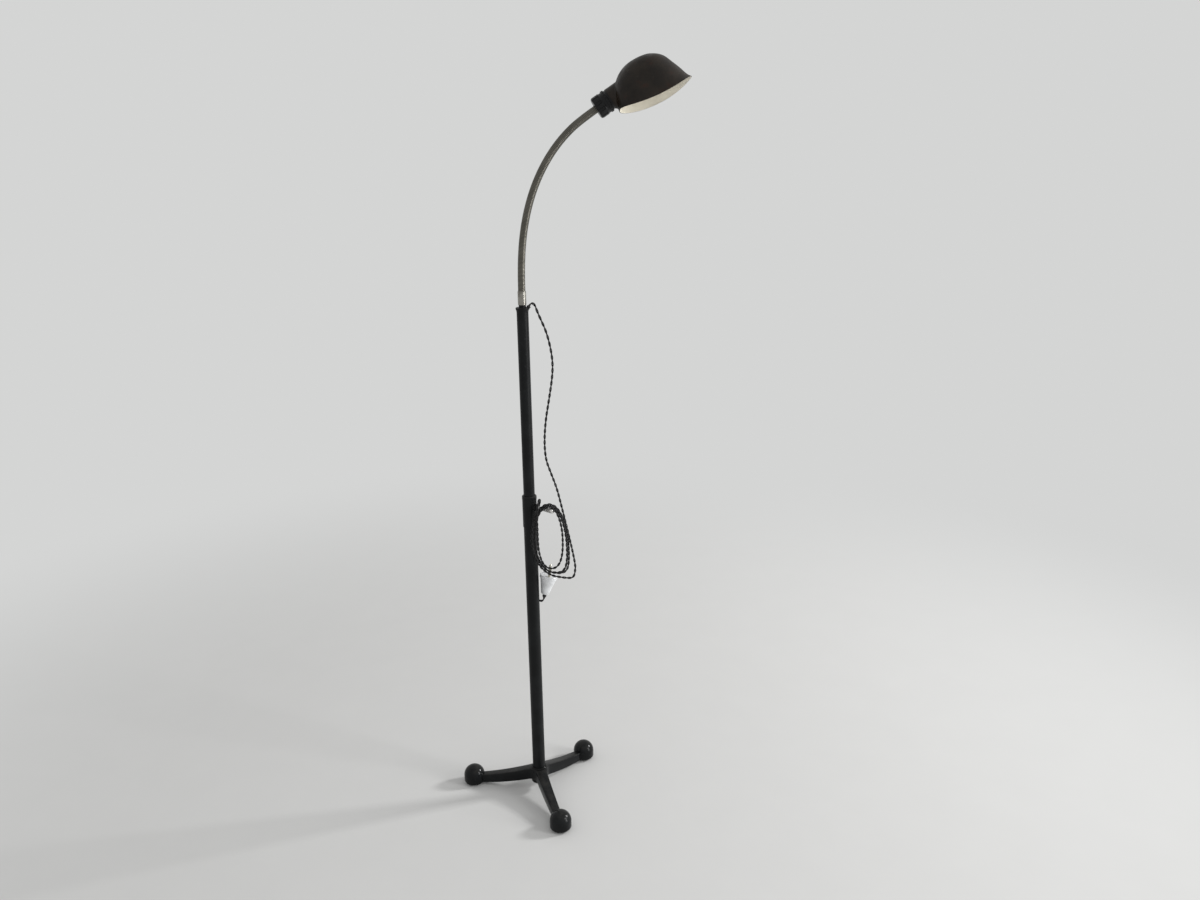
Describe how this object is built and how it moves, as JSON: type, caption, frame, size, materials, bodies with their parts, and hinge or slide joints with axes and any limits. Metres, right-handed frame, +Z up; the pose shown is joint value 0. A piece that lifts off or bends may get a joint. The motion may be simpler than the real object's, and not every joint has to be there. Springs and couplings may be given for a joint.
{
  "type": "reading floor lamp",
  "caption": "Floor lamp with a cast tripod foot, telescoping pole, flexible metal neck and a scoop-shaped metal shade; its cord is looped over the clamp handle.",
  "frame": {"origin": "where the pole's axis meets the floor, between the foot pads' undersides", "axes": "+Z up along the pole; +X the way the neck bends; +Y away from the side the picture was taken from"},
  "size_m": [0.4819, 0.2925, 1.5018],
  "materials": {
    "black_paint": "satin",
    "pad_rubber": "matt",
    "blued_steel": "dark satin",
    "bright_steel": "brushed",
    "neck_plating": "worn bright plating",
    "bakelite": "gloss",
    "brass": "plain",
    "ceramic": "glazed",
    "bulb_glass": "frosted",
    "cap_aluminium": "plain",
    "shade_paint": "worn dark paint outside, white inside",
    "cord_fabric": "braided",
    "plug_white": "semi-matt",
    "soft_black": "matt"
  },
  "bodies": {
    "stand": {"tripod_base": "black_paint", "foot_pads": "pad_rubber", "lower_tube": "black_paint", "tube_foot_plug": "bright_steel", "base_washer": "bright_steel", "base_nut": "bright_steel", "clamp_collar": "black_paint", "brake_shoe": "brass", "cord_drop": "cord_fabric", "cord_coil": "cord_fabric", "cord_tail": "cord_fabric", "plug_body": "plug_white", "plug_pins": "brass", "plug_sleeve": "soft_black"},
    "clamp_screw": {"clamp_screw": "blued_steel"},
    "upper_pole": {"upper_tube": "black_paint", "guide_bush": "soft_black", "pole_cap": "black_paint", "cord_gland": "soft_black"},
    "neck_base": {"neck_ferrule": "neck_plating", "swivel_spindle": "bright_steel", "swivel_nut": "bright_steel", "neck_root": "neck_plating"},
    "neck_link_1_body": {"neck_link_1": "neck_plating"},
    "neck_link_2_body": {"neck_link_2": "neck_plating"},
    "neck_link_3_body": {"neck_link_3": "neck_plating"},
    "neck_link_4_body": {"neck_link_4": "neck_plating"},
    "neck_link_5_body": {"neck_link_5": "neck_plating"},
    "neck_link_6_body": {"neck_link_6": "neck_plating"},
    "neck_link_7_body": {"neck_link_7": "neck_plating"},
    "neck_link_8_body": {"neck_link_8": "neck_plating"},
    "neck_link_9_body": {"neck_link_9": "neck_plating"},
    "head": {"neck_tip": "neck_plating", "holder_cap": "bakelite", "holder_skirt": "bakelite", "rear_shade_ring": "bakelite", "front_shade_ring": "bakelite", "ceramic_insert": "ceramic", "screw_shell": "brass", "centre_contact": "brass", "bulb_cap": "cap_aluminium", "bulb_glass": "bulb_glass"},
    "shade": {"shade": "shade_paint"}
  },
  "joints": [
    {"name": "clamp_screw_turn", "type": "hinge", "parent": "stand", "child": "clamp_screw", "pos_m": [0, 0, 0.657], "axis": [0.788, -0.6157, 0], "range_deg": [0, 360]},
    {"name": "pole_slide", "type": "slide", "parent": "stand", "child": "upper_pole", "axis": [0, 0, 1], "range_m": [-0.34, 0.08], "deforming": ["cord_drop"]},
    {"name": "neck_turn", "type": "hinge", "parent": "upper_pole", "child": "neck_base", "pos_m": [0, 0, 1.0604], "axis": [0, 0, 1], "range_deg": [-165, 165]},
    {"name": "neck_bend_1", "type": "hinge", "parent": "neck_base", "child": "neck_link_1_body", "pos_m": [0, 0, 1.098], "axis": [0, 1, 0], "range_deg": [-16, 12]},
    {"name": "neck_bend_2", "type": "hinge", "parent": "neck_link_1_body", "child": "neck_link_2_body", "pos_m": [0.00094, 0, 1.13399], "axis": [0, 1, 0], "range_deg": [-16, 12]},
    {"name": "neck_bend_3", "type": "hinge", "parent": "neck_link_2_body", "child": "neck_link_3_body", "pos_m": [0.00376, 0, 1.16988], "axis": [0, 1, 0], "range_deg": [-16, 12]},
    {"name": "neck_bend_4", "type": "hinge", "parent": "neck_link_3_body", "child": "neck_link_4_body", "pos_m": [0.00908, 0, 1.20548], "axis": [0, 1, 0], "range_deg": [-16, 12]},
    {"name": "neck_bend_5", "type": "hinge", "parent": "neck_link_4_body", "child": "neck_link_5_body", "pos_m": [0.01742, 0, 1.2405], "axis": [0, 1, 0], "range_deg": [-16, 12]},
    {"name": "neck_bend_6", "type": "hinge", "parent": "neck_link_5_body", "child": "neck_link_6_body", "pos_m": [0.02918, 0, 1.27453], "axis": [0, 1, 0], "range_deg": [-16, 10]},
    {"name": "neck_bend_7", "type": "hinge", "parent": "neck_link_6_body", "child": "neck_link_7_body", "pos_m": [0.04464, 0, 1.30704], "axis": [0, 1, 0], "range_deg": [-16, 10]},
    {"name": "neck_bend_8", "type": "hinge", "parent": "neck_link_7_body", "child": "neck_link_8_body", "pos_m": [0.06395, 0, 1.33742], "axis": [0, 1, 0], "range_deg": [-16, 10]},
    {"name": "neck_bend_9", "type": "hinge", "parent": "neck_link_8_body", "child": "neck_link_9_body", "pos_m": [0.08713, 0, 1.36497], "axis": [0, 1, 0], "range_deg": [-16, 10]},
    {"name": "neck_bend_10", "type": "hinge", "parent": "neck_link_9_body", "child": "head", "pos_m": [0.11399, 0, 1.38894], "axis": [0, 1, 0], "range_deg": [-16, 10]},
    {"name": "shade_turn", "type": "hinge", "parent": "head", "child": "shade", "pos_m": [0.14502, 0, 1.40909], "axis": [0.8387, 0, 0.5446], "continuous": true}
  ],
  "couplings": [
    {"joint": "neck_bend_2", "follows": "neck_bend_1", "ratio": 1},
    {"joint": "neck_bend_3", "follows": "neck_bend_1", "ratio": 1},
    {"joint": "neck_bend_4", "follows": "neck_bend_1", "ratio": 1},
    {"joint": "neck_bend_5", "follows": "neck_bend_1", "ratio": 1},
    {"joint": "neck_bend_7", "follows": "neck_bend_6", "ratio": 1},
    {"joint": "neck_bend_8", "follows": "neck_bend_6", "ratio": 1},
    {"joint": "neck_bend_9", "follows": "neck_bend_6", "ratio": 1},
    {"joint": "neck_bend_10", "follows": "neck_bend_6", "ratio": 1}
  ]
}
